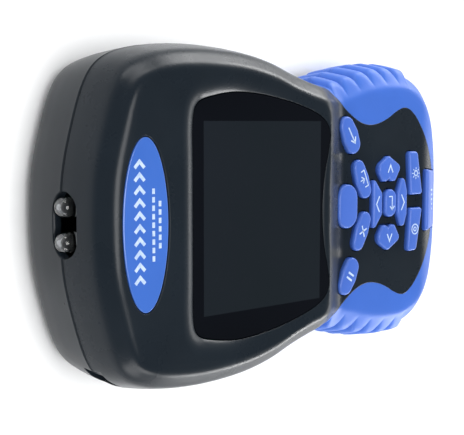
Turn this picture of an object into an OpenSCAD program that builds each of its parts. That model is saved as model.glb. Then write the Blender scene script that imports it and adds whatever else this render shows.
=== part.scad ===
// Handheld GPS land meter: a wide head with a display, a waist, and a rubber-gripped keypad handle.
// Millimetres. X is the width, +Y points to the lamp end, +Z comes out of the front face.
// The origin is on the flat back, under the middle of the case.

/* [Case] */
// Length of the case, heel to lamp end
body_l = 143.5; // [142:0.5:146]
// Width of the head at its widest
head_w = 88; // [87:0.5:91]
// Height of the head, back to front face
body_h = 35; // [34.5:0.25:36.5]
// How far the keypad lies below the head's front face
keypad_drop = 6.6; // [6:0.2:7]
// Height of the parting line in the head
seam_h = 21; // [20.6:0.1:21.4]
// Wall thickness of the two shells
wall = 2.2; // [2:0.1:2.4]
// Thickness of the rubber over the handle
grip_t = 2; // [1.8:0.1:2.1]

/* [Keypad] */
// How far a key stands above the keypad face
key_rise = 1.5; // [1.2:0.1:1.8]
// Travel of a key
key_travel = 0.9; // [0.6:0.1:1]
// Gap round a key in its aperture
key_gap = 0.3; // [0.3:0.05:0.4]

/* [Display] */
// Width of the display's lit area
lcd_w = 49; // [48:0.5:49.5]
// Height of the display's lit area
lcd_h = 42; // [41:0.5:42.5]

/* [Battery] */
// Diameter of the battery cell
cell_d = 18.2; // [17.8:0.1:18.4]
// Length of the battery cell
cell_l = 65; // [64:0.5:65.5]

/* [Lamps] */
// Diameter of a lamp's lens
lamp_d = 5; // [4.8:0.1:5]
// Distance between the two lamps
lamp_pitch = 8.4; // [8:0.1:9]

/* [Hidden] */
$fn = 32;

sx = head_w / 88;
sy = body_l / 143.5;
eps = 0.05;         // clearance between pieces that are fixed together
steps = 2;          // spline steps between two outline points

// Right half of the case outline at the parting line, lamp end to heel
half_points = [[0, 71.75], [12, 71.1], [23, 68.6], [33, 65.2], [38.6, 61.2], [41.7, 55], [43.4, 46],
    [44, 35], [43.4, 22.5], [41.5, 12], [38.4, 2.5], [36, -6.5], [35.5, -14], [37.2, -21.5],
    [39.4, -30], [40.5, -39], [40.2, -48], [37.6, -55.3], [32.2, -62], [24.6, -67.1], [13.4, -70.9],
    [0, -71.75]];
// Right half of the display window, top to bottom
window_points = [[0, 41.3], [14, 41.3], [24, 41.3], [28.6, 40], [30.5, 35.5], [31.8, 26.5], [31, 15.5],
    [28.7, 4], [25.6, -4.6], [21.6, -7.9], [16.2, -7.3], [9, -5.6], [0, -4.9]];
// Right half of the keypad's plastic face, waist to heel; the rubber lies outside it
face_points = [[35.5, -7.5], [33.4, -11.8], [31, -15.1], [28.6, -18], [26.2, -21.4], [24.2, -25.4],
    [23.4, -29.4], [23.9, -33.6], [25.4, -37.8], [27.3, -41.4], [28.5, -44.7], [28.3, -47.4],
    [26.4, -50.5], [23.2, -53.4], [19, -56.4], [13.8, -59.5], [8, -61.7], [0, -62.7]];

// Side profile: [how far in from the outline, share of the height from the parting line]
front_profile = [[0.6, 0.4], [1.8, 0.7], [3.2, 0.86], [5, 0.95], [7.4, 1]];
rear_profile = [[6.5, 1], [3.4, 0.95], [1.7, 0.82], [0.8, 0.55]];

function ease(t) = let (c = max(0, min(1, t))) c * c * (3 - 2 * c);
head_fall = 1.5;    // the front face sinks this much along the display
function front_z(y) = body_h - head_fall * ease((38 - y) / 42)
    - (keypad_drop - head_fall) * ease((-5 - y) / 14)
    - 8.5 * pow(max(0, (-54 - y) / 18), 1.7);
function seam_z(y) = seam_h - 5 * ease((-2 - y) / 26);
function rear_z(y) = 4 * pow(max(0, (-60 - y) / 12), 2);

// Catmull-Rom spline through half an outline; its ends lie on X = 0 and mirror there
function flip(p) = [-p.x, p.y];
function before(p, i) = i == 0 ? flip(p[1]) : p[i - 1];
function after(p, i) = i + 2 > len(p) - 1 ? flip(p[len(p) - 2]) : p[i + 2];
function bend(a, b, c, d, t) = 0.5 * (2 * b + (c - a) * t + (2 * a - 5 * b + 4 * c - d) * t * t
    + (3 * b - a - 3 * c + d) * t * t * t);
function smooth(p, n) = concat([for (i = [0 : len(p) - 2], k = [0 : n - 1])
    bend(before(p, i), p[i], p[i + 1], after(p, i), k / n)], [p[len(p) - 1]]);
function closed(h) = concat(h, [for (i = [len(h) - 2 : -1 : 1]) flip(h[i])]);
function scaled(p) = [for (q = p) [q.x * sx, q.y * sy]];

half = smooth(scaled(half_points), steps);
last = len(half) - 1;
ring_n = 2 * last;
face_half = smooth(scaled(face_points), steps);
window_half = smooth(window_points, 3);

// The half outline moved inwards by d, towards a spine so that tight corners never fold over
function normal(i) = let (a = i == 0 ? flip(half[1]) : half[i - 1],
    b = i == last ? flip(half[last - 1]) : half[i + 1], t = b - a) [-t.y, t.x] / norm(t);
function inward(i) = let (p = half[i], v = [0, max(-42, min(46, p.y))] - p) v / norm(v);
function inset_half(d) = [for (i = [0 : last]) half[i] + inward(i) * d / max(0.6, -inward(i) * normal(i))];

// Solid inside the case's outer surface, moved in by d all over
module body_solid(d = 0) {
    rear = [for (r = rear_profile) [r[0] + d, 1, r[1]]];
    front = [for (r = front_profile) [r[0] + d, 2, r[1]]];
    rows = concat(rear, [[d, 0, 0]], front);
    function level(side, share, y) = let (s = seam_z(y))
        side == 0 ? s : side == 1 ? s + share * (rear_z(y) + d - s) : s + share * (front_z(y) - d - s);
    points = [for (r = rows) each let (h = closed(inset_half(r[0])))
        [for (q = h) [q.x, q.y, level(r[1], r[2], q.y)]]];
    top = (len(rows) - 1) * ring_n;
    function other(i) = (ring_n - i) % ring_n;
    caps = [for (i = [0 : last - 1]) each i == 0
        ? [[top, top + 1, top + other(1)], [0, other(1), 1]]
        : i == last - 1
        ? [[top + i, top + last, top + other(i)], [i, other(i), last]]
        : [[top + i, top + i + 1, top + other(i + 1)], [top + i, top + other(i + 1), top + other(i)],
           [i, other(i + 1), i + 1], [i, other(i), other(i + 1)]]];
    sides = [for (j = [0 : len(rows) - 2], i = [0 : ring_n - 1]) each
        let (a = j * ring_n + i, b = j * ring_n + (i + 1) % ring_n)
        [[a, b, b + ring_n], [a, b + ring_n, a + ring_n]]];
    polyhedron(points = points, faces = concat(caps, sides));
}

// Everything in front of the parting line, or behind it
module part_line(front, gap = eps) {
    ys = [for (y = [80 : -4 : -80]) [y, seam_z(y) + (front ? gap : -gap)]];
    far = front ? 60 : -20;
    rotate([90, 0, 90]) translate([0, 0, -60]) linear_extrude(120)
        polygon(concat(ys, [[-80, far], [80, far]]));
}

// Plan of the keypad's plastic face with the whole head above it
module face_plan(grow = 0) {
    offset(delta = grow) polygon(concat([[0, 90], [60, 90], [60, -6.5]], face_half,
        [for (i = [len(face_half) - 2 : -1 : 0]) flip(face_half[i])], [[-60, -6.5], [-60, 90]]));
}

// Plan of the plastic on the back: the rubber covers the handle's sides and the heel
module back_plan(grow = 0) {
    offset(delta = grow) hull() {
        for (s = [-1, 1]) {
            translate([s * 50, 80]) circle(10);
            translate([s * 50, 2]) circle(8);
            translate([s * 19, -55]) circle(7);
        }
    }
}

// ---- Keys: each plan is the hull of a few corner circles [x, y, radius] ----
key_z = body_h - keypad_drop;
mat_z = 25.1;
mat_t = 1;
foot_z = 24;
board_top = 22.4;
board_t = 1.6;
enter_plan = [[-1.5, -38.1, 2.7], [1.5, -38.1, 2.7]];
power_plan = [[-2.25, -19.15, 4.15], [2.25, -19.15, 4.15]];
back_plan_r = [[17.9, -21.3, 2.9], [20.4, -20, 3.3], [22.9, -18.6, 2.9]];
save_plan_r = [[4.3, -26.9, 2.4], [7.6, -25.3, 2.9], [10.9, -23.9, 2.4]];
right_plan = [[10.1, -34.9, 2.4], [12.6, -37.2, 1.5], [10.4, -40.8, 1.6], [7.4, -39.7, 0.9],
    [7.4, -34.9, 0.9]];
up_plan = [[-6.2, -30.8, 0.9], [6.2, -30.8, 0.9], [3, -33.5, 0.8], [-3, -33.5, 0.8]];
down_plan = [[-2.8, -42.1, 0.9], [2.8, -42.1, 0.9], [6.1, -43.8, 1.2], [3.4, -44.9, 1],
    [-3.4, -44.9, 1], [-6.1, -43.8, 1.2]];
light_plan = [[2.9, -48.1, 0.9], [14, -47.7, 1.3], [14, -49.7, 1.3], [2.9, -52.3, 0.9]];
backlit_plan = [[-8.7, -56, 0.9], [8.7, -56, 0.9], [7.9, -62.5, 1.1], [-7.9, -62.5, 1.1]];

function left_of(plan) = [for (c = plan) [-c[0], c[1], c[2]]];

all_plans = [power_plan, back_plan_r, left_of(back_plan_r), save_plan_r, left_of(save_plan_r),
    right_plan, left_of(right_plan), up_plan, down_plan, enter_plan, light_plan,
    left_of(light_plan), backlit_plan];

module key_plan(plan, grow = 0) {
    hull() for (c = plan) translate([c[0], c[1]]) circle(c[2] + grow, $fn = 16);
}

// A key: its cap through the face, and a foot with side ears that keep it in
module key(plan) {
    color("royalblue") {
        intersection() {
            translate([0, 0, foot_z]) linear_extrude(12) key_plan(plan);
            key_envelope();
        }
        intersection() {
            translate([0, 0, foot_z]) linear_extrude(0.75)
                for (s = [-1, 1]) translate([s * 0.6, 0]) key_plan(plan);
            translate([-40, -58.4, 0]) cube([80, 60, 40]);
        }
    }
}

// Space under the key tops, which follow the face's fall towards the heel
module key_envelope() {
    tops = [for (y = [0 : -2 : -70]) [y, min(front_z(y), key_z) + key_rise]];
    rotate([90, 0, 90]) translate([0, 0, -30]) linear_extrude(60)
        polygon(concat(tops, [[-70, 10], [0, 10]]));
}

// ---- Fasteners and bosses ----
case_screw_at = [[31, 55], [-31, 55], [37, 16], [-37, 16], [20.5, -50.5], [-20.5, -50.5]];
board_screw_at = [[20, 50], [-20, 50], [29, -12.5], [-29, -12.5]];
screw_r = 1.25;
screw_head_r = 2.3;
screw_seat = 5;

module at_each(places) {
    for (p = places) translate([p.x, p.y, 0]) children();
}

// ---- Lamps, strap recess, charging socket ----
lamp_floor = 67.6;      // floor of the lamp recess
recess_r = 4.7;
lamp_tip = body_l / 2 + 1.3;  // crown of a lamp's dome, proud of the case's end
usb_z = 10.6;           // middle height of the charging socket
flap_low = 6.8;
flap_axis = [-70.35, 7.4];      // y and z of the flap's hinge line
flap_high = 14.4;
flap_w = 13;
strap_at = [-38.6, 60.6];
strap_turn = 52;        // direction of the corner's outward normal, from +Y towards -X
strap_z = 20.2;

module lamp_recess(from = lamp_floor, r = recess_r) {
    hull() for (s = [-1, 1]) translate([s * 3.2, from, seam_h + 0.4]) rotate([-90, 0, 0])
        cylinder(h = 10, r = r);
}

module lamp_holes(r) {
    for (s = [-1, 1]) translate([s * lamp_pitch / 2, 62, seam_h]) rotate([-90, 0, 0])
        cylinder(h = 8, r = r);
}

// Box at the strap corner: across the corner, into the case, and along Z
module strap_block(across, deep, high, out = 3) {
    translate([strap_at.x, strap_at.y, strap_z]) rotate(strap_turn)
        translate([-across / 2, -deep, -high / 2]) cube([across, deep + out, high]);
}

// Recess at the corner, with the bar that the strap goes round left standing
module strap_recess() {
    difference() {
        strap_block(7.4, 4, 7);
        strap_block(2.4, 2.2, 20, -0.3);
    }
}

module socket_opening() {
    translate([-4.3, -72, usb_z - 1.9]) cube([8.6, 8, 3.8]);
}

module flap_space(grow = 0) {
    translate([-flap_w / 2 - grow, -76, flap_low - grow])
        cube([flap_w + 2 * grow, 76 - 69.75 + grow, flap_high - flap_low + 2 * grow]);
}

// Where the case's own plastic is at the surface on the handle
module bare(grow = 0) {
    translate([0, 0, 12]) linear_extrude(40) face_plan(grow);
    translate([0, 0, -10]) linear_extrude(16) back_plan(grow);
}

grip_start = -8;        // the rubber goes from here to the heel
module head_side(y) {
    translate([-60, y, -10]) cube([120, 120, 70]);
}

// Everything the rubber fills, a little larger for the space it takes in the shells
module rubber_layer(grow = 0) {
    difference() {
        body_solid(-20 * grow);
        body_solid(grip_t + grow);
        bare(-grow);
        head_side(grip_start + grow);
    }
}

rib_y = [for (i = [0 : 5]) -18.5 - 5.9 * i];
rib_out = 1.1;
module ribs() {
    for (y = rib_y, s = [-1, 1]) {
        x = lookup(-y, [[14, 35.5], [21.5, 37.2], [30, 39.4], [39, 40.5], [48, 40.2]]) * sx;
        hull() for (z = [6.5, 19.5]) translate([s * (x - 1.6), y, z])
            sphere(r = 1.6 + rib_out, $fn = 12);
    }
}

// ---- Shells ----
// Room inside the case: the wall goes on behind the rubber
module cavity() {
    body_solid(grip_t + wall);
    intersection() {
        body_solid(wall);
        union() {
            bare(-wall);
            head_side(grip_start + 4);
        }
    }
}

module window_plan(grow = 0) {
    offset(delta = grow) polygon(closed(window_half));
}

window_top = 32.8;
window_t = 1.2;
ledge_z = window_top - window_t - eps;
ledge_t = 0.9;
screw_top = 25.8;

module front_shell() {
    color("#2b3038") difference() {
        intersection() {
            union() {
                difference() {
                    body_solid();
                    cavity();
                }
                intersection() {
                    body_solid(wall / 2);
                    union() {
                        translate([0, 0, ledge_z - ledge_t]) linear_extrude(8) difference() {
                            window_plan(1.6);
                            window_plan(-2.2);
                        }
                        at_each(case_screw_at) cylinder(h = 60, r = 3.1);
                        at_each(board_screw_at) translate([0, 0, board_top + eps])
                            cylinder(h = 60, r = 2.4);
                        strap_block(9.8, 5.2, 10.4, 0);
                        lamp_recess(lamp_floor - 1.4, recess_r + 1.2);
                    }
                }
            }
            part_line(true);
        }
        rubber_layer(eps);
        translate([0, 0, ledge_z]) linear_extrude(10) window_plan(eps);
        translate([0, 0, ledge_z - 4]) linear_extrude(10) window_plan(-2.2);
        for (plan = all_plans) translate([0, 0, 22]) linear_extrude(20) key_plan(plan, key_gap);
        // The outer two keys' feet reach under the rubber's edge
        for (plan = [back_plan_r, left_of(back_plan_r)])
            translate([0, 0, 20]) linear_extrude(mat_z - 20) key_plan(plan, 1.1);
        at_each(case_screw_at) cylinder(h = screw_top + 0.4, r = screw_r + eps);
        at_each(board_screw_at) cylinder(h = screw_top + 0.4, r = 1 + eps);
        // Room for the lower corners of the display's frame
        for (s = [-1, 1]) translate([s * 27.3 - 1.4, lcd_mid - 25.1, board_top - 1])
            cube([2.8, 4, panel_top - board_top + 1.1]);
        lamp_recess();
        lamp_holes(lamp_d / 2 + 0.1);
        strap_recess();
        translate([0, 57.2, body_h - 0.5]) scale([20.9, 6.8, 1]) cylinder(h = 2, r = 1, $fn = 48);
    }
}

door_w = 22;
door_low = -58.5;
door_high = 11;
hinge_y = 12.6;
hinge_z = 1.6;
bay_x = 11.5;

module rear_shell() {
    color("#262b31") difference() {
        intersection() {
            union() {
                difference() {
                    body_solid();
                    cavity();
                }
                intersection() {
                    body_solid(wall / 2);
                    union() {
                        at_each(case_screw_at) cylinder(h = 40, r = 3.6);
                        for (s = [-1, 1]) translate([s * (bay_x + 0.6) - 0.6, -61.5, 0])
                            cube([1.2, 77, 17]);
                        for (y = [-61.6, 14.8]) translate([-bay_x - 0.5, y, 0])
                            cube([2 * bay_x + 1, 1.2, 17]);
                        translate([-13.5, 10.4, 0]) cube([27, 6, 4.6]);
                        strap_block(9.8, 5.2, 10.4, 0);
                        lamp_recess(lamp_floor - 1.4, recess_r + 1.2);
                        // Posts that hold up the charging board
                        for (s = [-1, 1]) translate([s * 7.5, -64.4, 0]) cylinder(h = 7.95, r = 1.6);
                    }
                }
            }
            part_line(false);
        }
        rubber_layer(eps);
        at_each(case_screw_at) {
            translate([0, 0, -1]) cylinder(h = 1 + screw_seat, r = screw_head_r + 0.4);
            cylinder(h = 40, r = screw_r + 0.2);
        }
        lamp_recess();
        lamp_holes(lamp_d / 2 + 0.1);
        strap_recess();
        // Opening for the battery door, with its hinge channel and finger notch
        translate([-door_w / 2 - 0.35, door_low - 0.35, -1])
            cube([door_w + 0.7, door_high - door_low + 0.6, 6]);
        translate([-9.35, hinge_y - 1.75, -1]) cube([18.7, 4, 1 + hinge_z]);
        translate([-9.35, hinge_y, hinge_z]) rotate([0, 90, 0]) cylinder(h = 18.7, r = 1.7);
        translate([-11.6, hinge_y, hinge_z]) rotate([0, 90, 0]) cylinder(h = 23.2, r = 0.66);
        hull() for (s = [-1, 1]) translate([s * 4, door_low - 1.2, -0.6]) sphere(r = 1.9, $fn = 16);
        // Cell space, and the socket's opening in the heel
        translate([-bay_x, -60.4, 2.2]) cube([2 * bay_x, 70.8, 20]);
        translate([-bay_x, 10, 4.6]) cube([2 * bay_x, 4.8, 18]);
        flap_space(0.3);
        socket_opening();
        back_marks();
    }
}

// Shallow grip lines pressed into the back of the head
module back_marks() {
    for (i = [0 : 5]) hull() for (s = [-1, 1])
        translate([s * 13, 28 + 4.5 * i, -0.9]) sphere(r = 1.5, $fn = 16);
}

// Rubber with its ribs, both halves together
module rubber() {
    rubber_layer();
    difference() {
        intersection() {
            ribs();
            body_solid(-rib_out);
        }
        body_solid(grip_t / 2);
        bare(eps);
    }
}

module front_grip() {
    color("#3f6fd6") difference() {
        intersection() {
            rubber();
            part_line(true);
        }
        translate([0, 0, 20]) linear_extrude(20) key_plan(backlit_plan, key_gap);
    }
}

module rear_grip() {
    color("#3a68cc") difference() {
        intersection() {
            rubber();
            part_line(false);
        }
        flap_space(0.3);
        socket_opening();
    }
}

module label_plate() {
    color("#4478dc") translate([0, 57.2, body_h - 0.45]) scale([20.7, 6.6, 1])
        cylinder(h = 0.45, r = 1, $fn = 48);
}

module display_window() {
    color("#0b0f16") translate([0, 0, window_top - window_t]) linear_extrude(window_t)
        window_plan(-eps);
}

// ---- Display ----
lcd_mid = 17;
gasket_t = 0.4;
panel_top = ledge_z - ledge_t - gasket_t - 2 * eps;

module window_gasket() {
    color("#1b1d20") translate([0, lcd_mid, panel_top + eps]) linear_extrude(gasket_t) difference() {
        square([lcd_w + 4, lcd_h + 3.4], center = true);
        square([lcd_w + 0.6, lcd_h + 0.6], center = true);
    }
}

module lcd_panel() {
    color("#20282c") translate([0, lcd_mid, panel_top - 1]) cube([lcd_w + 5, lcd_h + 5, 2], center = true);
}

module lcd_frame() {
    color("#d8d8d4") difference() {
        translate([-28.4, lcd_mid - 24.9, board_top + eps]) cube([56.8, 49.8, panel_top - board_top - 0.2]);
        translate([0, lcd_mid, panel_top]) cube([lcd_w + 5.2, lcd_h + 5.2, 4 + 2 * eps], center = true);
        translate([-27, lcd_mid - 23, board_top - 1]) cube([54, 46, 4.2]);
        translate([-12, lcd_mid - 27, board_top - 1]) cube([24, 4.2, 12]);
    }
}

module lcd_flex() {
    color("#b9772b") translate([-9, lcd_mid - 24.4, board_top + eps]) cube([18, 0.4, panel_top - board_top - 2.2]);
}

// ---- Boards and electronics ----
module main_board() {
    color("#1f5c3a") difference() {
        union() {
            translate([0, 0, board_top - board_t]) linear_extrude(board_t) difference() {
                intersection() {
                    polygon(closed(inset_half(8.2)));
                    translate([-60, -58.5]) square([120, 117.2]);
                }
                for (p = case_screw_at) translate([p.x, p.y]) circle(4.3);
            }
            // Snap domes under the keys
            for (plan = all_plans) translate([dome(plan).x, dome(plan).y, board_top - 0.1])
                cylinder(h = 0.4, r = 2);
        }
        at_each(board_screw_at) cylinder(h = 30, r = 1.15);
    }
}

// Middle of a key's corners, kept on the board
function dome(plan) = let (n = len(plan), all = [for (i = [0 : n - 1]) 1] * [for (c = plan) [c[0], c[1]]] / n)
    [all.x, max(-56.3, all.y)];

module keypad_mat() {
    color("#3050a8") difference() {
        translate([0, 0, mat_z]) linear_extrude(mat_t) intersection() {
            face_plan(-3.6);
            translate([-24, -54.6]) square([48, 41]);
        }
        at_each(case_screw_at) cylinder(h = 60, r = 3.6);
        for (plan = all_plans) translate([0, 0, 22]) linear_extrude(20) key_plan(plan, key_gap);
    }
}

module gps_antenna() {
    color("#cfc5a5") difference() {
        translate([-7.5, 43.2, board_top + eps]) cube([15, 15, 4]);
        translate([-1.5, 49, board_top + 3.7]) cylinder(h = 2, r = 0.8);
    }
}

module gps_shield() {
    color("silver") translate([-31, 2, board_top - board_t - eps - 2.6]) cube([16, 16, 2.6]);
}

module processor_shield() {
    color("silver") translate([-12, 26, board_top - board_t - eps - 2.4]) cube([24, 24, 2.4]);
}

module buzzer() {
    color("#1c1c1e") translate([24, 32, board_top - board_t - eps - 4]) difference() {
        cylinder(h = 4, r = 6);
        translate([0, 0, -1]) cylinder(h = 2, r = 1);
    }
}

module lamp(s) {
    color("#dfe6ea", 0.6) translate([s * lamp_pitch / 2, 0, seam_h]) rotate([-90, 0, 0]) {
        translate([0, 0, 63.2]) cylinder(h = lamp_tip - lamp_d / 2 - 63.2, r = lamp_d / 2);
        translate([0, 0, lamp_tip - lamp_d / 2]) sphere(r = lamp_d / 2);
        translate([0, 0, 62.2]) cylinder(h = 1, r = 2.9);
        for (x = [-1.27, 1.27]) translate([x, 0, 60.4]) cylinder(h = 2, r = 0.3);
    }
}

module lamp_board() {
    color("#1f5c3a") translate([-9.5, 59.1, seam_h - 4.5]) cube([19, 1.2, 9]);
}

// ---- Battery ----
cell_z = 11.4;
cell_y = -54.6;

module battery_cell() {
    color("#2f7fb8") translate([0, cell_y, cell_z]) rotate([-90, 0, 0]) {
        cylinder(h = cell_l - 1, r = cell_d / 2);
        cylinder(h = cell_l, r = 3);
    }
}

module contact_plate() {
    color("gold") translate([-5, cell_y + cell_l + 0.6, cell_z - 5]) {
        cube([10, 0.4, 10]);
        translate([5, 0, 5]) rotate([90, 0, 0]) cylinder(h = 0.5, r = 1.6);
    }
}

// Conical coil: the wire's ring of points turns as it goes back to its seat
module contact_spring() {
    turns = 3;
    per_turn = 14;
    wire = 0.4;
    n = turns * per_turn;
    sides = 6;
    function coil(k) = let (a = 360 * k / per_turn, r = 4.6 - 1.6 * k / n)
        [r * cos(a), -60 + wire + 4.6 * k / n, cell_z + r * sin(a)];
    points = [for (k = [0 : n], j = [0 : sides - 1])
        let (a = 360 * k / per_turn, b = 360 * j / sides)
        coil(k) + wire * [cos(b) * cos(a), sin(b), cos(b) * sin(a)]];
    tube = [for (k = [0 : n - 1], j = [0 : sides - 1])
        let (i = k * sides + j, m = k * sides + (j + 1) % sides) [i, m, m + sides, i + sides]];
    ends = [[for (j = [sides - 1 : -1 : 0]) j], [for (j = [0 : sides - 1]) n * sides + j]];
    color("silver") polyhedron(points = points, faces = concat(tube, ends));
}

module battery_door() {
    color("#2b3038") difference() {
        union() {
            translate([-door_w / 2, door_low, 0]) cube([door_w, door_high - door_low - 0.8, 2]);
            translate([-9, door_high - 1, 0.5]) cube([18, hinge_y - door_high + 1, 1.5]);
            translate([-9, hinge_y, hinge_z]) rotate([0, 90, 0]) cylinder(h = 18, r = 1.35);
        }
        translate([-12, hinge_y, hinge_z]) rotate([0, 90, 0]) cylinder(h = 24, r = 0.7);
        for (i = [0 : 4]) translate([-6, door_low + 5 + 2.2 * i, -0.6]) cube([12, 1, 1]);
    }
}

module door_pin() {
    color("silver") translate([-11.4, hinge_y, hinge_z]) rotate([0, 90, 0]) cylinder(h = 22.8, r = 0.62);
}

// ---- Charging ----
module charge_board() {
    color("#1f5c3a") translate([-10, -65.4, 8]) cube([20, 3.4, 1.1]);
}

module usb_port() {
    color("silver") translate([0, 0, usb_z]) {
        difference() {
            translate([-3.75, -69.2, -1.4]) cube([7.5, 5.4, 2.8]);
            translate([-3.4, -70, -1.05]) cube([6.8, 5.2, 2.1]);
        }
        translate([-2.2, -68.6, -0.35]) cube([4.4, 4.2, 0.7]);
    }
}

module usb_flap() {
    color("#2f5fc4") {
        difference() {
            intersection() {
                body_solid(0.1);
                flap_space();
            }
            translate([-20, -90, 0]) cube([40, 40, flap_axis[1]]);
        }
        translate([-flap_w / 2, flap_axis[0], flap_axis[1]]) rotate([0, 90, 0])
            cylinder(h = flap_w, r = 0.6);
    }
}

// ---- Screws ----
module screw(r, head_r, low, head_h, top) {
    translate([0, 0, low]) difference() {
        union() {
            cylinder(h = head_h, r = head_r);
            cylinder(h = top - low, r = r);
        }
        for (a = [0, 90]) rotate(a) translate([-head_r * 0.6, -0.25, -1]) cube([head_r * 1.2, 0.5, 1.8]);
    }
}

module case_screws() {
    color("dimgray") at_each(case_screw_at)
        screw(screw_r, screw_head_r, screw_seat - 1.75, 1.7, screw_top);
}

module board_screws() {
    color("dimgray") at_each(board_screw_at) screw(1, 1.9, board_top - board_t - 1.4, 1.35, screw_top);
}

front_shell();
rear_shell();
front_grip();
rear_grip();
label_plate();
display_window();
window_gasket();
lcd_panel();
lcd_frame();
lcd_flex();
keypad_mat();
key(power_plan);  // power_key
key(back_plan_r);  // back_key
key(left_of(back_plan_r));  // pause_key
key(save_plan_r);  // save_key
key(left_of(save_plan_r));  // delete_key
key(up_plan);  // up_key
key(down_plan);  // down_key
key(left_of(right_plan));  // left_key
key(right_plan);  // right_key
key(enter_plan);  // enter_key
key(light_plan);  // light_key
key(left_of(light_plan));  // cash_key
key(backlit_plan);  // backlit_key
main_board();
gps_antenna();
gps_shield();
processor_shield();
buzzer();
lamp(-1);  // lamp_left
lamp(1);  // lamp_right
lamp_board();
battery_cell();
battery_door();
door_pin();
contact_spring();
contact_plate();
charge_board();
usb_port();
usb_flap();
case_screws();
board_screws();
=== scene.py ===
"""Looks of the handheld GPS land meter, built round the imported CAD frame."""
import math

import bmesh
import bpy
import numpy as np
from mathutils import Matrix, Vector


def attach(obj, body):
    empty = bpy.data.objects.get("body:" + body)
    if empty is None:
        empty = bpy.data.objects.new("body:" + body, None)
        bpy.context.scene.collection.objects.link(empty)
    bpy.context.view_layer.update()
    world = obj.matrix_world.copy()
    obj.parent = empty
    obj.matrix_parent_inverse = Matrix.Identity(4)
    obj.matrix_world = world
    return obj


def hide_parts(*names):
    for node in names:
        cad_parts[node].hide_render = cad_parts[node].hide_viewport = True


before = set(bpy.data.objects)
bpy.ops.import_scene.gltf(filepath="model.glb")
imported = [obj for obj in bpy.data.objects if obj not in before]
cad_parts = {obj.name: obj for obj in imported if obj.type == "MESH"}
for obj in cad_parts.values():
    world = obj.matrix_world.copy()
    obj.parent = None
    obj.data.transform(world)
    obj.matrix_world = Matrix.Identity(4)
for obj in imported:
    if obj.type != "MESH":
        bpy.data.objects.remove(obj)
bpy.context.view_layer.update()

MM = 0.001
CASE = "case"                   # the body that everything fixed rides on
FINE = 420    # columns on half an outline

# ---------------------------------------------------------------- sizes, in millimetres
BODY_H = 35.0
HEAD_FALL = 1.5                 # how far the front face sinks along the display
KEYPAD_DROP = 6.6
KEY_Z = BODY_H - KEYPAD_DROP
KEY_RISE = 1.5
KEY_GAP = 0.3
FOOT_Z = 24.0
SEAM_H = 21.0
WALL = 2.2
GRIP_T = 2.0
GRIP_START = -8.0
WINDOW_TOP = 32.8
LABEL_AT = (0.0, 57.2)
LAMP_X = 4.2
LAMP_FLOOR = 67.6
LAMP_TIP = 73.05
RECESS_R = 4.6
RECESS_X = 3.2                  # half the distance between the recess's two round ends
RECESS_Z = SEAM_H + 0.8
RUBBER_GAP = 0.05               # between the rubber and the shell it lies in
WINDOW_SIDES = 220              # points round the window
LABEL_SIDES = 120
DISPLAY_AT = (0.0, 16.9)        # middle of the display, and half its width and height
DISPLAY_HALF = (24.5, 21.0)

# Half outlines, from the lamp end to the heel; they mirror at X = 0
CASE_POINTS = [(0, 71.75), (12, 71.1), (23, 68.6), (33, 65.2), (38.6, 61.2), (41.7, 55), (43.4, 46),
               (44, 35), (43.4, 22.5), (41.5, 12), (38.4, 2.5), (36, -6.5), (35.5, -14),
               (37.2, -21.5), (39.4, -30), (40.5, -39), (40.2, -48), (37.6, -55.3), (32.2, -62),
               (24.6, -67.1), (13.4, -70.9), (0, -71.75)]
WINDOW_POINTS = [(0, 41.3), (14, 41.3), (24, 41.3), (28.6, 40), (30.5, 35.5), (31.8, 26.5),
                 (31, 15.5), (28.7, 4), (25.6, -4.6), (21.6, -7.9), (16.2, -7.3), (9, -5.6), (0, -4.9)]
FACE_POINTS = [(35.5, -7.5), (33.4, -11.8), (31, -15.1), (28.6, -18), (26.2, -21.4), (24.2, -25.4),
               (23.4, -29.4), (23.9, -33.6), (25.4, -37.8), (27.3, -41.4), (28.5, -44.7), (28.3, -47.4),
               (26.4, -50.5), (23.2, -53.4), (19, -56.4), (13.8, -59.5), (8, -61.7), (0, -62.7)]

# Side profiles: (how far in from the outline, share of the height from the parting line)
FRONT_PROFILE = [(0, 0), (0.5, 0.25), (1.2, 0.5), (1.8, 0.66), (2.6, 0.755), (4.2, 0.865),
                 (5.6, 0.95), (6.9, 0.988), (8.8, 1)]
REAR_PROFILE = [(0, 0), (0.4, 0.3), (0.9, 0.56), (1.8, 0.8), (3.6, 0.945), (6.8, 1)]

# Keys: corner circles (x, y, radius) of each plan
BACK = [(17.9, -21.3, 2.9), (20.4, -20, 3.3), (22.9, -18.6, 2.9)]
SAVE = [(4.3, -26.9, 2.4), (7.6, -25.3, 2.9), (10.9, -23.9, 2.4)]
RIGHT = [(10.1, -34.9, 2.4), (12.6, -37.2, 1.5), (10.4, -40.8, 1.6), (7.4, -39.7, 0.9),
         (7.4, -34.9, 0.9)]
LIGHT = [(2.9, -48.1, 0.9), (14, -47.7, 1.3), (14, -49.7, 1.3), (2.9, -52.3, 0.9)]


def left_of(plan):
    return [(-x, y, r) for x, y, r in plan]


KEYS = {
    "power": [(-2.25, -19.15, 4.15), (2.25, -19.15, 4.15)],
    "back": BACK, "pause": left_of(BACK), "save": SAVE, "delete": left_of(SAVE),
    "up": [(-6.2, -30.8, 0.9), (6.2, -30.8, 0.9), (3, -33.5, 0.8), (-3, -33.5, 0.8)],
    "down": [(-2.8, -42.1, 0.9), (2.8, -42.1, 0.9), (6.1, -43.8, 1.2), (3.4, -44.9, 1),
             (-3.4, -44.9, 1), (-6.1, -43.8, 1.2)],
    "left": left_of(RIGHT), "right": RIGHT,
    "enter": [(-1.5, -38.1, 2.7), (1.5, -38.1, 2.7)],
    "light": LIGHT, "cash": left_of(LIGHT),
    "backlit": [(-8.7, -56, 0.9), (8.7, -56, 0.9), (7.9, -62.5, 1.1), (-7.9, -62.5, 1.1)],
}


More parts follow.
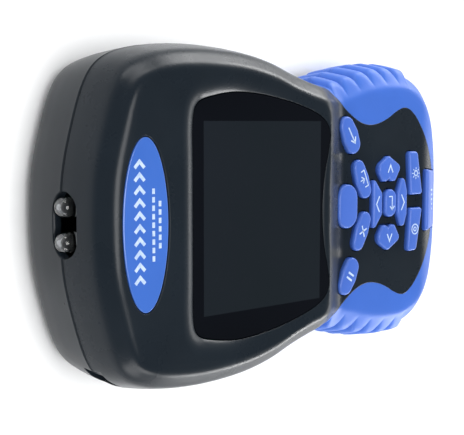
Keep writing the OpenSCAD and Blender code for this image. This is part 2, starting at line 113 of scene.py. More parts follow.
# ---------------------------------------------------------------- heights and outlines
def ease(t):
    """Smooth step from 0 to 1."""
    c = np.clip(t, 0, 1)
    return c * c * (3 - 2 * c)


def front_z(y):
    """Height of the front face: it sinks along the display, drops to the keypad and rounds off."""
    return (BODY_H - HEAD_FALL * ease((38 - y) / 42) - (KEYPAD_DROP - HEAD_FALL) * ease((-5 - y) / 14)
            - 7.7 * np.maximum(0, (-54 - y) / 18) ** 1.7)


def seam_z(y):
    """Height of the parting line, which is lower along the handle."""
    return SEAM_H - 5 * ease((-2 - y) / 26)


def rear_z(y):
    """Height of the back, which lifts towards the heel."""
    return 4 * np.maximum(0, (-60 - y) / 12) ** 2


def key_top(y):
    """Height of the keys' crowns, which sink a little towards the heel."""
    return np.minimum(front_z(y), KEY_Z) + KEY_RISE - 0.9 * ease((-56 - y) / 6)


def spline(points, per_span, mirrored=True):
    """Catmull-Rom curve through points. A mirrored half outline meets X = 0 squarely."""
    p = np.array(points, float)
    flip = np.array([-1, 1])
    first, final = (p[1] * flip, p[-2] * flip) if mirrored else (2 * p[0] - p[1], 2 * p[-1] - p[-2])
    q = np.vstack([first, p, final])
    t = (np.arange(per_span) / per_span)[:, None]
    spans = []
    for a, b, c, d in zip(q, q[1:], q[2:], q[3:]):
        spans.append(0.5 * (2 * b + (c - a) * t + (2 * a - 5 * b + 4 * c - d) * t * t
                            + (3 * b - a - 3 * c + d) * t ** 3))
    return np.vstack(spans + [p[-1:]])


def even(curve, n, dense=None):
    """The curve again with n equal steps, or steps a fifth as long between two values of y."""
    length = np.linalg.norm(np.diff(curve, axis=0), axis=1)
    if dense:
        length = length * np.where((curve[1:, 1] > dense[0]) & (curve[1:, 1] < dense[1]), 5, 1)
    s = np.concatenate([[0], np.cumsum(length)])
    at = np.linspace(0, s[-1], n + 1)
    return np.column_stack([np.interp(at, s, curve[:, k]) for k in (0, 1)])


def mirror_ring(half):
    """Closed ring from a half that starts and ends on X = 0."""
    return np.vstack([half, (half * [-1, 1])[-2:0:-1]])


class Outline:
    """Half of the case's outline with the direction that insets follow."""

    def __init__(self, n):
        self.half = even(spline(CASE_POINTS, 60), n, (-51, -11))
        self.half[[0, -1], 0] = 0
        around = np.vstack([self.half[1] * [-1, 1], self.half, self.half[-2] * [-1, 1]])
        along = around[2:] - around[:-2]
        normal = np.column_stack([-along[:, 1], along[:, 0]])
        normal /= np.linalg.norm(normal, axis=1)[:, None]
        spine = np.column_stack([np.zeros(n + 1), np.clip(self.half[:, 1], -42, 46)])
        inward = spine - self.half
        inward /= np.linalg.norm(inward, axis=1)[:, None]
        lean = np.maximum(0.6, -(inward * normal).sum(1))
        self.step = inward / lean[:, None]

    def inset(self, d):
        """Ring of the outline moved in by d, a number or one value per column of the half."""
        half = self.half + self.step * np.reshape(d, (-1, 1))
        half[[0, -1], 0] = 0
        return mirror_ring(half)


OUTLINE = Outline(FINE)
COARSE = Outline(90)


# ---------------------------------------------------------------- mesh helpers
def make(name, verts, faces, smooth=True):
    """A mesh object from points in millimetres."""
    mesh = bpy.data.meshes.new(name)
    mesh.from_pydata((np.asarray(verts, float) * MM).tolist(), [], faces)
    mesh.validate()
    obj = bpy.data.objects.new(name, mesh)
    bpy.context.scene.collection.objects.link(obj)
    if smooth:
        mesh.shade_smooth()
    return obj


def loft(name, rings, strip_caps=False):
    """Closed solid through rings of equal length, lowest first, each counter-clockwise from above or
    all clockwise. Strip caps join mirrored points, for a ring that starts on X = 0."""
    n = len(rings[0])
    faces = []
    for j in range(len(rings) - 1):
        a, b = j * n, (j + 1) * n
        for i in range(n):
            k = (i + 1) % n
            faces.append((a + k, a + i, b + i, b + k))
    top = (len(rings) - 1) * n
    if strip_caps:
        for i in range(n // 2):
            quad = [i, (n - i) % n, n - i - 1, i + 1]
            low = list(dict.fromkeys(quad))
            faces.append(tuple(low[::-1]))
            faces.append(tuple(top + v for v in low))
    else:
        faces.append(tuple(range(n)))
        faces.append(tuple(top + i for i in reversed(range(n))))
    return outward(make(name, np.vstack(rings), faces))


def outward(obj):
    """Turns the mesh's faces outwards, whichever way its rings ran."""
    mesh = obj.data
    mesh.calc_loop_triangles()
    co = np.array([v.co for v in mesh.vertices])
    tri = np.array([t.vertices for t in mesh.loop_triangles])
    a, b, c = co[tri[:, 0]], co[tri[:, 1]], co[tri[:, 2]]
    if np.einsum("ij,ij->i", a, np.cross(b, c)).sum() < 0:
        mesh.flip_normals()
    return obj


def flat_ring(ring, z):
    """The ring's points at one height."""
    return np.column_stack([ring, np.full(len(ring), z)])


def box(name, low, high):
    ring = np.array([(low[0], low[1]), (high[0], low[1]), (high[0], high[1]), (low[0], high[1])])
    return prism(name, ring, low[2], high[2])


def prism(name, ring, z0, z1):
    """Upright solid on a plan."""
    return loft(name, [flat_ring(ring, z) for z in (z0, z1)])


def rod(name, start, axis, length, radius, sides=48):
    """Cylinder from start along the unit axis."""
    axis = Vector(axis).normalized()
    side = axis.orthogonal().normalized()
    other = axis.cross(side)
    rings = []
    for h in (0, length):
        centre = Vector(start) + axis * h
        turns = [2 * math.pi * k / sides for k in range(sides)]
        rings.append(np.array([centre + radius * (math.cos(t) * side + math.sin(t) * other)
                               for t in turns]))
    return loft(name, rings)


def bake(obj):
    """Applies the object's modifiers."""
    graph = bpy.context.evaluated_depsgraph_get()
    mesh = bpy.data.meshes.new_from_object(obj.evaluated_get(graph))
    obj.modifiers.clear()
    old, obj.data = obj.data, mesh
    bpy.data.meshes.remove(old)


def combine(obj, operation, tools):
    """Boolean of obj with each tool in turn, which uses the tools up."""
    for tool in tools:
        m = obj.modifiers.new("combine", "BOOLEAN")
        m.operation = operation
        m.object = tool
        m.solver = "MANIFOLD"
    bake(obj)
    for tool in tools:
        bpy.data.objects.remove(tool)
    return obj


def cut(obj, *tools):
    return combine(obj, "DIFFERENCE", tools)


def add(obj, *tools):
    return combine(obj, "UNION", tools)


def common(obj, *tools):
    return combine(obj, "INTERSECT", tools)


def crisp(obj, degrees=32):
    """Smooth shading that stops at real edges, once the slivers that booleans leave are merged."""
    mesh = obj.data
    work = bmesh.new()
    work.from_mesh(mesh)
    bmesh.ops.remove_doubles(work, verts=work.verts, dist=0.004 * MM)
    bmesh.ops.dissolve_degenerate(work, edges=work.edges, dist=0.002 * MM)
    work.to_mesh(mesh)
    work.free()
    mesh.shade_smooth()
    mesh.set_sharp_from_angle(angle=math.radians(degrees))
    m = obj.modifiers.new("weighted", "WEIGHTED_NORMAL")
    m.keep_sharp = True
    return obj


def finish_piece(obj, material, slot, *nodes, body=CASE):
    """Gives a piece its material, its body and the CAD nodes it stands for."""
    obj.data.materials.clear()
    obj.data.materials.append(material)
    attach(obj, body)
    if nodes:
        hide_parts(*nodes)
    return obj


# ---------------------------------------------------------------- materials
class Nodes:
    """Short way to write a node material."""

    def __init__(self, name):
        self.material = bpy.data.materials.new(name)
        self.material.use_nodes = True
        self.tree = self.material.node_tree
        self.shader = self.tree.nodes["Principled BSDF"]
        self.place = self.new("ShaderNodeTexCoord").outputs["Object"]

    def new(self, kind, **settings):
        node = self.tree.nodes.new(kind)
        for key, value in settings.items():
            if key in node.inputs:
                self.put(node.inputs[key], value)
            else:
                setattr(node, key, value)
        return node

    def put(self, socket, value):
        if isinstance(value, bpy.types.NodeSocket):
            self.tree.links.new(value, socket)
        else:
            socket.default_value = value

    def set(self, **values):
        for key, value in values.items():
            self.put(self.shader.inputs[key.replace("_", " ")], value)

    def noise(self, scale, detail=2.0, roughness=0.5):
        return self.new("ShaderNodeTexNoise", Vector=self.place, Scale=scale, Detail=detail,
                        Roughness=roughness).outputs["Fac"]

    def ramp(self, fac, stops):
        node = self.new("ShaderNodeValToRGB", Fac=fac)
        ramp = node.color_ramp
        while len(ramp.elements) < len(stops):
            ramp.elements.new(0.5)
        for element, (at, colour) in zip(ramp.elements, stops):
            element.position = at
            element.color = (*colour, 1)
        return node.outputs["Color"]

    def bump(self, height, strength, distance, normal):
        return self.new("ShaderNodeBump", Height=height, Strength=strength, Distance=distance,
                        Normal=normal).outputs["Normal"]


def grey(v):
    return (v, v, v)


def moulded(name, colour, rough, grain=0.25, grain_mm=0.28, spread=0.12, edge_mm=0.25, **more):
    """Moulded plastic or rubber: soft colour drift, spark-eroded grain and rounded edges."""
    n = Nodes(name)
    drift = n.noise(35, 4, 0.6)
    low = tuple(c * (1 - spread) for c in colour)
    high = tuple(c * (1 + spread) for c in colour)
    wear = [(0.25, grey(rough - 0.05)), (0.75, grey(rough + 0.06))]
    grain_fac = n.noise(1 / (grain_mm * MM), 2, 0.55)
    rounded = n.new("ShaderNodeBevel", samples=6, Radius=edge_mm * MM).outputs["Normal"]
    n.set(Base_Color=n.ramp(drift, [(0.3, low), (0.7, high)]),
          Roughness=n.ramp(n.noise(60, 5, 0.65), wear),
          Normal=n.bump(grain_fac, grain, 0.03 * MM, rounded), **more)
    return n.material


def metal(name, colour, rough):
    """Drawn metal with fine streaks along Y."""
    n = Nodes(name)
    streak = 600
    stretched = n.new("ShaderNodeMapping", Vector=n.place, Scale=(streak, streak * 0.06, streak))
    lines = n.new("ShaderNodeTexNoise", Vector=stretched.outputs["Vector"], Scale=1.0, Detail=3.0)
    darker = tuple(c * 0.85 for c in colour)
    n.set(Metallic=1.0,
          Base_Color=n.ramp(lines.outputs["Fac"], [(0.3, darker), (0.7, colour)]),
          Roughness=n.ramp(n.noise(900), [(0.3, grey(rough)), (0.7, grey(rough + 0.12))]))
    return n.material


BLACK = (0.0105, 0.0155, 0.0215)
BLUE = (0.046, 0.14, 0.55)

shell_mat = moulded("shell_black", BLACK, 0.28, Specular_IOR_Level=0.2)
# Painted shade: the back half is the front's black plastic darkened by a tenth, so its walls render
# darker
shaded_rear_mat = moulded("shell_black_rear_painted_shade", tuple(c * 0.9 for c in BLACK), 0.3, Specular_IOR_Level=0.17)
grip_mat = moulded("grip_blue", BLUE, 0.42, grain=0.18, spread=0.06, Specular_IOR_Level=0.25)
key_mat = moulded("key_blue", (0.058, 0.145, 0.56), 0.4, grain=0.12, spread=0.05, edge_mm=0.15,
                  Specular_IOR_Level=0.4)
dark_mat = moulded("dark_plastic", (0.006, 0.007, 0.009), 0.5)
steel_mat = metal("screw_steel", (0.16, 0.16, 0.17), 0.32)
tin_mat = metal("tinned_steel", (0.62, 0.63, 0.64), 0.28)
brass_mat = metal("gold_plate", (0.82, 0.6, 0.24), 0.25)


def print_material():
    """White ink with a slightly uneven cover."""
    n = Nodes("white_print")
    n.set(Base_Color=n.ramp(n.noise(900), [(0.3, (0.42, 0.56, 0.8)), (0.6, (0.58, 0.7, 0.88))]),
          Roughness=0.5)
    return n.material


def window_material():
    """Dark window: black printed border, and a greyer field where the display lies."""
    n = Nodes("display_window")
    x, y, _ = n.new("ShaderNodeSeparateXYZ", Vector=n.place).outputs

    def band(value, middle, half, soft):
        off = n.new("ShaderNodeMath", operation="SUBTRACT")
        n.put(off.inputs[0], value)
        off.inputs[1].default_value = middle * MM
        size = n.new("ShaderNodeMath", operation="ABSOLUTE")
        n.put(size.inputs[0], off.outputs[0])
        node = n.new("ShaderNodeMapRange", Value=size.outputs[0])
        node.inputs["From Min"].default_value = half * MM
        node.inputs["From Max"].default_value = (half - soft) * MM
        return node.outputs["Result"]

    inside = n.new("ShaderNodeMath", operation="MULTIPLY")
    n.put(inside.inputs[0], band(x, DISPLAY_AT[0], DISPLAY_HALF[0], 0.15))
    n.put(inside.inputs[1], band(y, DISPLAY_AT[1], DISPLAY_HALF[1], 0.15))
    field = n.ramp(n.noise(18, 3), [(0.3, (0.0085, 0.0125, 0.0155)), (0.7, (0.0105, 0.0135, 0.0185))])
    border = n.ramp(n.noise(25, 3), [(0.3, (0.0016, 0.0022, 0.0042)), (0.7, (0.0024, 0.0032, 0.0058))])
    mix = n.new("ShaderNodeMix", data_type="RGBA")
    n.put(mix.inputs["Factor"], inside.outputs[0])
    n.put(mix.inputs[6], border)
    n.put(mix.inputs[7], field)
    n.set(Base_Color=mix.outputs[2],
          Roughness=n.ramp(n.noise(30, 4), [(0.3, grey(0.1)), (0.7, grey(0.14))]),
          Specular_IOR_Level=0.4)
    return n.material


def label_material():
    """Satin blue print under a thin clear coat."""
    n = Nodes("label_blue")
    sheen = n.ramp(n.noise(45, 2), [(0.3, (0.04, 0.135, 0.52)), (0.7, (0.048, 0.155, 0.58))])
    n.set(Base_Color=sheen, Roughness=n.ramp(n.noise(700), [(0.3, grey(0.3)), (0.7, grey(0.36))]),
          Coat_Weight=0.35, Coat_Roughness=0.12)
    return n.material


def lens_material():
    """Clear resin of the lamps."""
    n = Nodes("lamp_lens")
    n.set(Base_Color=(0.93, 0.95, 0.97, 1), Transmission_Weight=1.0, IOR=1.52,
          Roughness=n.ramp(n.noise(300), [(0.3, grey(0.01)), (0.7, grey(0.05))]))
    return n.material


print_mat = print_material()
window_mat = window_material()
label_mat = label_material()
lens_mat = lens_material()


# ---------------------------------------------------------------- the case
def level(side, share, y, d):
    """Height at a share of the way from the parting line to the face, which is moved in by d."""
    seam = seam_z(y)
    if side == "front":
        return seam + share * (front_z(y) - d - seam)
    return seam + share * (rear_z(y) + d - seam)


def case_rings(side, profile, outline, d=0.0, bump=None):
    """Rings of one half of the case, from the parting line outwards."""
    rings = []
    for inset, share in profile:
        out = 0 if bump is None else bump(outline.half[:, 1], share)
        ring = outline.inset(inset + d - out)
        rings.append(np.column_stack([ring, level(side, share, ring[:, 1], d)]))
    return rings


def smooth_profile(profile, per_span):
    """Profile through its points, finer."""
    return spline(profile, per_span, mirrored=False)


def half_case(name, side, d=0.0, outline=None, bump=None, chamfer=0.35, past=0.0):
    """Solid half of the case. past moves its flat side beyond the parting line, for a tool."""
    outline = outline or OUTLINE
    fine = 3 if outline is COARSE else 5
    profile = smooth_profile(FRONT_PROFILE if side == "front" else REAR_PROFILE, fine)
    rings = case_rings(side, profile, outline, d, bump)
    if past:
        away = -past if side == "front" else past
        rings.insert(0, rings[0] + [0, 0, away])
    elif chamfer:
        # A small step in at the parting line, which shows as the seam's shadow
        first = case_rings(side, [(chamfer, 0.004), (0.02, 0.03)], outline, d, bump)
        rings[0:1] = first
    return loft(name, rings, strip_caps=True)


def face_ring(grow=0.0):
    """Plan of the keypad's plastic face, with the head above it."""
    half = spline(FACE_POINTS, 10, mirrored=False)
    half[-1, 0] = 0
    along = np.gradient(half, axis=0)
    along /= np.linalg.norm(along, axis=1)[:, None]
    half = half + grow * np.column_stack([-along[:, 1], along[:, 0]])
    half[-1, 0] = 0
    start = [(0, 90), (60, 90), (60, half[0, 1])]
    return mirror_ring(np.vstack([start, half]))


def hull_ring(circles, grow=0.0, sides=40):
    """Outline round a few circles (x, y, radius)."""
    turn = np.linspace(0, 2 * math.pi, sides, endpoint=False)
    points = np.vstack([np.column_stack([x + (r + grow) * np.cos(turn), y + (r + grow) * np.sin(turn)])
                        for x, y, r in circles])
    # Furthest point in each direction, in turn, gives the hull in order
    order = []
    for a in np.linspace(0, 2 * math.pi, 4 * sides, endpoint=False):
        k = int(np.argmax(points @ [math.cos(a), math.sin(a)]))
        if not order or order[-1] != k:
            order.append(k)
    if order[0] == order[-1]:
        order.pop()
    return points[order]


def resample_ring(ring, n):
    """The closed ring again with n equal steps."""
    return even(np.vstack([ring, ring[:1]]), n)[:-1]


# Corner circles of the plan where the back's own plastic shows
BACK_PLAN = [(50, 80, 10), (-50, 80, 10), (50, 2, 8), (-50, 2, 8), (19, -55, 7), (-19, -55, 7)]


def bare_tool(grow=0.0):
    """The spaces where the case's own plastic is at the surface on the handle."""
    front = prism("bare_front", face_ring(grow), 12, 60)
    rear = prism("bare_rear", hull_ring(BACK_PLAN, grow), -10, 6)
    return add(front, rear)


def head_tool(y):
    """Everything on the lamp side of y."""
    return box("head_side", (-60, y, -10), (60, 130, 70))


def rubber_space(side):
    """What the rubber takes from a case half."""
    outer = half_case("rubber_space", side, -1.0, COARSE, past=4)
    inner = half_case("rubber_inside", side, GRIP_T + RUBBER_GAP, COARSE, past=8)
    return cut(outer, inner, bare_tool(-RUBBER_GAP), head_tool(GRIP_START + RUBBER_GAP))


def inside_space(side):
    """Room inside a case half."""
    deep = half_case("room_deep", side, GRIP_T + WALL, COARSE, past=8)
    wide = half_case("room_wide", side, WALL, COARSE, past=8)
    common(wide, add(bare_tool(-WALL), head_tool(GRIP_START + 4)))
    return add(deep, wide)


def stadium(x, z, r, sides=40):
    """Outline in X and Z of two half circles at plus and minus x."""
    turn = np.linspace(0, 2 * math.pi, sides, endpoint=False)
    return np.column_stack([np.cos(turn) * r + np.where(np.cos(turn) > 0, x, -x), z + r * np.sin(turn)])


def recess_tool():
    """Lamp recess with a rounded mouth."""
    steps = [(0, LAMP_FLOOR), (0, 70.7), (0.1, 71.1), (0.3, 71.45), (0.7, 71.75), (0.7, 78)]
    rings = []
    for grow, y in steps:
        ring = stadium(RECESS_X, RECESS_Z, RECESS_R + grow)
        rings.append(np.column_stack([ring[:, 0], np.full(len(ring), y), ring[:, 1]]))
    return loft("lamp_recess", rings)


STRAP_AT = (-38.8, 60.4, 20.2)      # middle of the recess's mouth
STRAP_TURN = math.radians(52)       # about Z, so that the recess faces out of the corner


def strap_block(left, right, deep, high, out=3.0):
    """Block at the strap corner, from deep inside it to out in front of it."""
    b = box("strap_block", (left, -deep, -high / 2), (right, out, high / 2))
    turn = Matrix.Rotation(STRAP_TURN, 4, "Z")
    b.data.transform(Matrix.Translation(Vector(STRAP_AT) * MM) @ turn)
    return b


def strap_tool():
    """Corner recess, less the bar that the cord goes round."""
    return cut(strap_block(-3.7, 3.7, 4, 7), strap_block(0.2, 2.5, 2.6, 20, -0.8))


def window_ring(grow=0.0):
    """Plan of the window, grown outwards."""
    ring = resample_ring(mirror_ring(spline(WINDOW_POINTS, 12)), WINDOW_SIDES)
    around = np.roll(ring, -1, axis=0) - np.roll(ring, 1, axis=0)
    around /= np.linalg.norm(around, axis=1)[:, None]
    return ring + grow * np.column_stack([-around[:, 1], around[:, 0]])


def window_tool():
    """Window opening: a seat for the pane, and a wide soft roll from its edge up to the face."""
    roll = [(0.1, 0.0), (0.3, 0.1), (0.75, 0.27), (1.3, 0.44), (2.0, 0.62), (2.8, 0.78),
            (3.7, 0.9), (4.6, 0.97), (5.6, 1.0)]
    rings = [flat_ring(window_ring(roll[0][0]), WINDOW_TOP - 1.25)]
    for grow, share in roll:
        ring = window_ring(grow)
        face = front_z(ring[:, 1])
        depth = np.maximum(face - WINDOW_TOP, 0)
        rings.append(np.column_stack([ring, face - (1 - share) * depth + 0.03 * share]))
    rings.append(flat_ring(window_ring(roll[-1][0]), 45.0))
    return loft("window_tool", rings)


def key_tool(plan):
    """Opening for a key."""
    return prism("key_tool", hull_ring(plan, KEY_GAP), 20, 42)


def label_loft(name, a, b, steps):
    """Solid with an oval plan, through steps of (growth, height)."""
    turn = np.linspace(0, 2 * math.pi, LABEL_SIDES, endpoint=False)
    rings = []
    for grow, z in steps:
        oval = np.column_stack([(a + grow) * np.cos(turn), (b + grow) * np.sin(turn)])
        rings.append(flat_ring(LABEL_AT + oval, z))
    return loft(name, rings)


def end_tools():
    """Lamp recess and holes, and the strap recess, which both halves share."""
    return [recess_tool(), strap_tool(), *lamp_holes()]


def heel_tools():
    """Spaces for the charging flap and its socket."""
    return [box("flap_space", (-6.8, -76, 6.5), (6.8, -69.45, 14.7)),
            box("socket", (-4.3, -72, 8.7), (4.3, -64, 12.5))]


def lamp_holes():
    return [rod("lamp_hole", (s * LAMP_X, 62, SEAM_H), (0, 1, 0), 8, 2.6) for s in (-1, 1)]


def front_shell():
    """Front half, with its window, label, lamp, strap and key openings."""
    shell = half_case("case_front", "front")
    cut(shell, inside_space("front"), rubber_space("front"))
    label = label_loft("label_tool", 20.95, 6.85, [(0, 34.5), (0, 34.8), (0.25, 35.02), (0.25, 37)])
    cut(shell, window_tool(), prism("window_through", window_ring(-2.2), 26, 40), label,
        *end_tools(), *[key_tool(plan) for plan in KEYS.values()])
    return finish_piece(crisp(shell), shell_mat, "shell", "front_shell")


DOOR_LOW, DOOR_HIGH, DOOR_W = -58.5, 11.0, 22.0
DOOR_GAP = 0.35
HINGE = (12.6, 1.6)             # y and z of the door's pin
HINGE_X = 9.35
BAY_X = 11.5
BAY_WALL = 1.2
SCREWS = [(31, 55), (-31, 55), (37, 16), (-37, 16), (20.5, -50.5), (-20.5, -50.5)]


def rear_shell():
    """Back half: battery bay, screw bosses, finger lines, and the door's and the flap's spaces."""
    shell = half_case("case_rear", "rear")
    cut(shell, inside_space("rear"), rubber_space("rear"))
    ribs = [box("rib", (x, -61.5, 1.2), (x + BAY_WALL, 15.5, 17)) for x in (-BAY_X - BAY_WALL, BAY_X)]
    for y in (-61.6, 14.8):
        ribs.append(box("rib", (-BAY_X - 0.5, y, 1.2), (BAY_X + 0.5, y + BAY_WALL, 16.9)))
    ribs.append(box("hinge_block", (-13.5, 10.4, 1.2), (13.5, 16.4, 4.6)))
    bosses = add(*[rod("boss", (x, y, -1), (0, 0, 1), 16.2, 3.6) for x, y in SCREWS])
    common(bosses, half_case("boss_limit", "rear", 0.5, COARSE, past=2))
    add(shell, *ribs, bosses)
    tools = end_tools()
    for x, y in SCREWS:
        tools.append(rod("screw_seat", (x, y, -1), (0, 0, 1), 6, 2.7))
        tools.append(rod("screw_hole", (x, y, 0), (0, 0, 1), 30, 1.45))
    door_x = DOOR_W / 2 + DOOR_GAP
    tools += [
        box("door_space", (-door_x, DOOR_LOW - DOOR_GAP, -1), (door_x, DOOR_HIGH + 0.25, 5)),
        box("hinge_space", (-HINGE_X, HINGE[0] - 1.75, -1), (HINGE_X, HINGE[0] + 2.25, HINGE[1])),
        rod("hinge_round", (-HINGE_X, *HINGE), (1, 0, 0), 2 * HINGE_X, 1.7),
        rod("notch", (-5, DOOR_LOW - 1.2, -0.6), (1, 0, 0), 10, 1.9),
        box("bay", (-BAY_X, -60.4, 2.2), (BAY_X, 10.4, 22)),
        box("bay_end", (-BAY_X, 10, 4.6), (BAY_X, 14.8, 22)),
        *heel_tools(),
    ]
    for i in range(6):
        tools.append(rod("grip_line", (-13, 28 + 4.5 * i, -0.95), (1, 0, 0), 26, 1.5))
    cut(shell, *tools)
    return finish_piece(crisp(shell), shaded_rear_mat, "shell_back", "rear_shell")


# ---------------------------------------------------------------- rubber
RIB_FIRST, RIB_PITCH, RIB_COUNT = -13.2, 5.9, 6
RIB_H = 1.6
RIB_NOSE = 0.3      # share of the pitch on the head side of a rib's crest


def rib_bump(front):
    """Height of the rubber's ribs over the outline, for a column's y and a row's share."""
    fade_from, fade_over = (0.66, 0.3) if front else (0.6, 0.4)

    def height(y, share):
        lean = 2.0 * share ** 2 if front else 0
        phase = (RIB_FIRST - (y + lean)) / RIB_PITCH
        number = np.floor(phase)
        t = phase - number
        nose = np.sqrt(1 - np.clip(1 - t / RIB_NOSE, 0, 1) ** 2)
        tail = 1 - 0.95 * np.clip((t - RIB_NOSE) / (1 - RIB_NOSE), 0, 1) ** 2.6
        # The last rib keeps its height and ends in a step
        last = 1 - ease((t - 0.75) / 0.25)
        inside = (phase > 0) & (phase < RIB_COUNT)
        fade = 1 - ease((share - fade_from) / fade_over)
        shape = nose * np.where(number == RIB_COUNT - 1, last, tail)
        return np.where(inside, shape, 0) * RIB_H * fade

    return height


def rubber(side):
    """Ribbed rubber over one half of the handle."""
    front = side == "front"
    piece = half_case("grip_" + side, side, bump=rib_bump(front), chamfer=0.12)
    inner = half_case("grip_inside", side, GRIP_T, COARSE, past=8)
    cut(piece, inner, bare_tool(0.0), head_tool(GRIP_START))
    if front:
        cut(piece, key_tool(KEYS["backlit"]))
        return finish_piece(crisp(piece, 40), grip_mat, "grip", "front_grip")
    cut(piece, *heel_tools())
    return finish_piece(crisp(piece, 40), grip_mat, "grip_back", "rear_grip")


# ---------------------------------------------------------------- window, label, lamps
def window_pane():
    """Pane with a small bevel round its front edge."""
    steps = [(-0.05, WINDOW_TOP - 1.2), (-0.05, WINDOW_TOP - 0.15), (-0.2, WINDOW_TOP)]
    pane = loft("window_pane", [flat_ring(window_ring(grow), z) for grow, z in steps])
    return finish_piece(crisp(pane), window_mat, "window", "display_window")


def label_plate():
    """Oval badge with a rounded edge."""
    steps = [(0, 34.55), (0, 34.85), (-0.15, 34.97), (-0.4, 35.0)]
    plate = label_loft("label_badge", 20.7, 6.6, steps)
    return finish_piece(crisp(plate, 50), label_mat, "label", "label_plate")


def stroke(points, width):
    """Outline rings of a line drawn with square ends, one quad per segment, mitred."""
    p = np.array(points, float)
    seg = np.diff(p, axis=0)
    seg /= np.linalg.norm(seg, axis=1)[:, None]
    along = np.vstack([seg[:1], seg[:-1] + seg[1:], seg[-1:]])
    along /= np.linalg.norm(along, axis=1)[:, None]
    stretch = np.ones(len(p))
    stretch[1:-1] = 1 / np.maximum(0.4, (along[1:-1] * seg[:-1]).sum(1))
    side = np.column_stack([-along[:, 1], along[:, 0]]) * (stretch * width / 2)[:, None]
    return p + side, p - side


def print_marks(name, strokes, height_of, body, slot, lift=0.05):
    """White printed marks: thin raised strokes that follow the surface under them."""
    verts, faces = [], []
    for points, width in strokes:
        a, b = stroke(points, width)
        n = len(a)
        base = len(verts)
        for z_add in (-0.05, lift):
            for row in (a, b):
                verts += [(x, y, height_of(y) + z_add) for x, y in row]
        for i in range(n - 1):
            for lo, hi in ((2 * n, 3 * n), (n, 0)):
                faces.append((base + lo + i, base + hi + i, base + hi + i + 1, base + lo + i + 1))
            faces.append((base + i, base + 2 * n + i, base + 2 * n + i + 1, base + i + 1))
            faces.append((base + n + i + 1, base + 3 * n + i + 1, base + 3 * n + i, base + n + i))
        for i in (0, n - 1):
            faces.append((base + i, base + n + i, base + 3 * n + i, base + 2 * n + i))
    marks = make(name, verts, faces, smooth=False)
    return finish_piece(marks, print_mat, slot, body=body)


def circle(cx, cy, r, n):
    """Closed line of n points, of which the last is the first again."""
    return [(cx + r * math.cos(a), cy + r * math.sin(a)) for a in np.linspace(0, 2 * math.pi, n)]


def label_marks():
    """A row of chevrons over two dashed lines."""
    marks = []
    for i in range(10):
        x = -13.6 + 3.02 * i
        marks.append(([(x, 57.7), (x + 1.5, 59.1), (x, 60.5)], 0.85))
    for y, count in ((55.1, 9), (53.2, 6)):
        for i in range(count):
            x = (i - (count - 1) / 2) * 2.0
            marks.append(([(x - 0.65, y), (x + 0.65, y)], 0.8))
    return print_marks("label_marks", marks, lambda y: BODY_H, CASE, "label", lift=0.04)


def revolve(name, profile, x, z, sides=48):
    """Solid of revolution about a line along Y; profile is (y, radius) from the back to the tip."""
    turn = np.linspace(0, 2 * math.pi, sides, endpoint=False)
    rings = [np.column_stack([x + r * np.cos(turn), np.full(sides, y), z + r * np.sin(turn)])
             for y, r in profile]
    return loft(name, rings)


def lamps():
    """Clear lamps, each with a flange, a domed tip, a reflector cup and a lead post inside."""
    r = 2.5
    dome = [(LAMP_TIP - r + r * math.sin(a), max(0.02, r * math.cos(a)))
            for a in np.linspace(0, math.pi / 2, 14)]
    flanged = [(62.2, 2.9), (63.2, 2.9), (63.25, r), *dome]
    cupped = [(64, 0.5), (66.6, 0.5), (67.5, 1.5), (67.6, 1.45), (66.9, 0.6), (66.85, 0.05)]
    for s, side in ((-1, "left"), (1, "right")):
        x = s * LAMP_X
        lens = revolve("lamp_lens_" + side, flanged, x, SEAM_H)
        finish_piece(crisp(lens, 40), lens_mat, "lens", "lamp_" + side)
        cup = revolve("lamp_cup_" + side, cupped, x, SEAM_H)
        finish_piece(crisp(cup), tin_mat, "lens")
        wire = rod("lamp_post_" + side, (x + 1.2, 62.5, SEAM_H), (0, 1, 0), 4.6, 0.3, 16)
        finish_piece(crisp(wire), tin_mat, "lens")


# ---------------------------------------------------------------- keys
def key_cap(name, plan):
    """Moulded silicone key: soft shoulder, crowned top, and a V notch in the two side arrows."""
    shoulder = [(0.0, -1.0), (-0.03, -0.72), (-0.11, -0.46), (-0.26, -0.24), (-0.47, -0.095),
                (-0.72, -0.025), (-0.98, 0.0)]
    crown = [(0.78, 0.03), (0.5, 0.055), (0.2, 0.065)]
    crown_rise = crown[-1][1]
    notched = name in ("left", "right")
    notch_y, notch_half, notch_deep = -37.3, 1.15, 0.85
    inner_x = 7.6               # the notch is in the side that is nearer than this

    def ring_at(grow):
        ring = resample_ring(hull_ring(plan, grow), 160)
        if notched:
            inner = np.abs(ring[:, 0]) < inner_x
            bite = np.clip(1 - np.abs(ring[:, 1] - notch_y) / notch_half, 0, 1) * notch_deep
            ring[:, 0] += np.sign(ring[:, 0]) * bite * inner
        return ring

    rings = [flat_ring(ring_at(0), FOOT_Z)]
    for grow, drop in shoulder:
        ring = ring_at(grow)
        rings.append(np.column_stack([ring, key_top(ring[:, 1]) + drop - crown_rise]))
    edge = rings[-1][:, :2]
    centre = (edge.min(0) + edge.max(0)) / 2
    for scale, rise in crown:
        ring = centre + (edge - centre) * scale
        rings.append(np.column_stack([ring, key_top(ring[:, 1]) - crown_rise + rise]))
    key = loft(name + "_cap", rings)
    return finish_piece(crisp(key, 60), key_mat, "keys", name + "_key", body=name + "_key_body")


